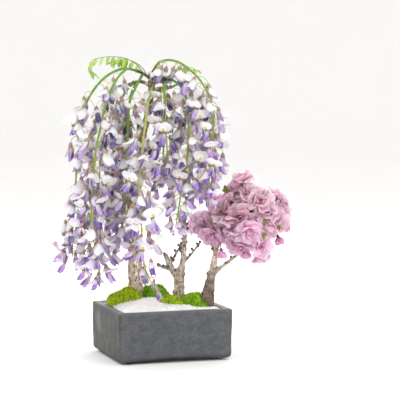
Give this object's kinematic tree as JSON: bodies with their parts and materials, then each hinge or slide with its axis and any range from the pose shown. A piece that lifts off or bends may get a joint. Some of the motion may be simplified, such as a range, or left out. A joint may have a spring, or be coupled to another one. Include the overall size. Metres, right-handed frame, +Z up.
{
  "type": "flowering bonsai in pot",
  "caption": "Weeping wisteria bonsai with hanging racemes beside two small cherry trees, mossed and gravelled in a low square clay pot that stands on its flat foot.",
  "frame": {"origin": "middle of the pot's flat foot, on the surface it stands on", "axes": "+Z up, +X along the pot's long side, -Y towards the pot's front"},
  "size_m": [0.3007, 0.1907, 0.3887],
  "materials": {
    "dark_clay": "unglazed dark grey clay, slightly pitted and brushed",
    "soil": "crumbly dark potting soil",
    "black_net": "black plastic drainage net",
    "white_gravel": "crushed white gravel, matte",
    "moss": "dense yellow-green moss cushions",
    "wisteria_bark": "pale grey fissured bark",
    "cherry_bark": "grey-brown bark with lenticels",
    "wisteria_flower": "soft lavender petals, pale banners over violet keels",
    "young_leaf": "fresh green leaves and stalks",
    "cherry_petal": "soft pink double petals, deeper at the heart",
    "cherry_bud": "magenta bud petals"
  },
  "bodies": {
    "root": {"blossom_back": "cherry_petal", "blossom_back_left": "cherry_petal", "blossom_back_right": "cherry_petal", "blossom_bud_left": "cherry_bud", "blossom_bud_low": "cherry_bud", "blossom_bud_right": "cherry_bud", "blossom_centre": "cherry_petal", "blossom_far_right": "cherry_petal", "blossom_front": "cherry_petal", "blossom_left_back": "cherry_petal", "blossom_low_left": "cherry_petal", "blossom_low_middle": "cherry_petal", "blossom_low_right": "cherry_petal", "blossom_lowest": "cherry_petal", "blossom_middle_left": "cherry_petal", "blossom_right": "cherry_petal", "blossom_right_high": "cherry_petal", "blossom_top": "cherry_petal", "blossom_upper_back": "cherry_petal", "blossom_upper_left": "cherry_petal", "blossom_upper_right": "cherry_petal", "cherry_leaf_left": "young_leaf", "cherry_leaf_right": "young_leaf", "cherry_leaf_top": "young_leaf", "cherry_left_wood": "cherry_bark", "cherry_right_wood": "cherry_bark", "drain_screen_left": "black_net", "drain_screen_right": "black_net", "gravel": "white_gravel", "leaf_back": "young_leaf", "leaf_far_left": "young_leaf", "leaf_left": "young_leaf", "leaf_right": "young_leaf", "moss_behind_wisteria": "moss", "moss_between_cherries": "moss", "moss_front_left": "moss", "moss_front_middle": "moss", "pot": "dark_clay", "raceme_back": "wisteria_flower", "raceme_back_left": "wisteria_flower", "raceme_back_middle": "wisteria_flower", "raceme_back_right": "wisteria_flower", "raceme_centre": "wisteria_flower", "raceme_centre_left": "wisteria_flower", "raceme_centre_right": "wisteria_flower", "raceme_far_left": "wisteria_flower", "raceme_left_front": "wisteria_flower", "raceme_left_middle": "wisteria_flower", "raceme_right": "wisteria_flower", "raceme_right_front": "wisteria_flower", "raceme_right_middle": "wisteria_flower", "soil": "soil", "wisteria_wood": "wisteria_bark"}
  },
  "joints": []
}
